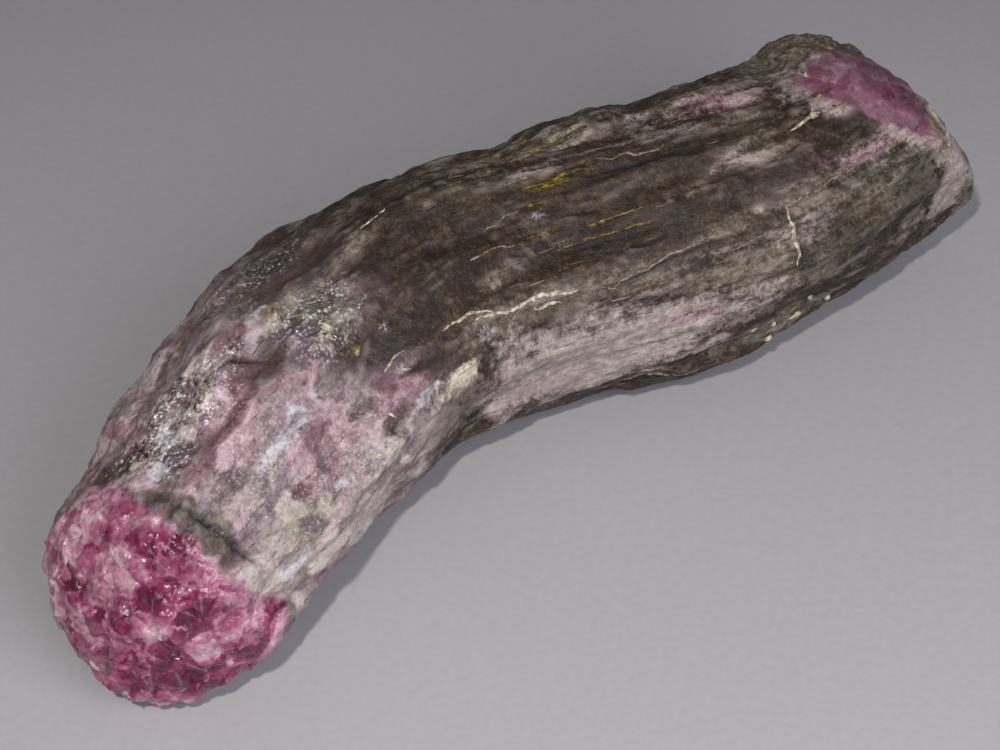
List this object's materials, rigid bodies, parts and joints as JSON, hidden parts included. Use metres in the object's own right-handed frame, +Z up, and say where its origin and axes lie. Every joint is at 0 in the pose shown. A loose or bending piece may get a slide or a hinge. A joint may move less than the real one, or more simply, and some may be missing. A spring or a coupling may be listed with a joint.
{
  "type": "watermelon tourmaline crystal",
  "caption": "Bent, striated prism of tourmaline with a grey-brown skin, broken across at both ends to show a grainy pink inside; it lies on its flattest side.",
  "frame": {"origin": "below the middle of the crystal's box, on the surface it lies on", "axes": "+X from the blunt pink break to the slanting one, -Y out of the hollow side of the bend, +Z up"},
  "size_m": [0.1474, 0.0484, 0.0375],
  "materials": {
    "tourmaline": "dull grey-brown skin with lengthwise striations and glinting flakes, glassy pink grains on the broken ends"
  },
  "bodies": {
    "root": {"tourmaline_crystal": "tourmaline"}
  },
  "joints": []
}
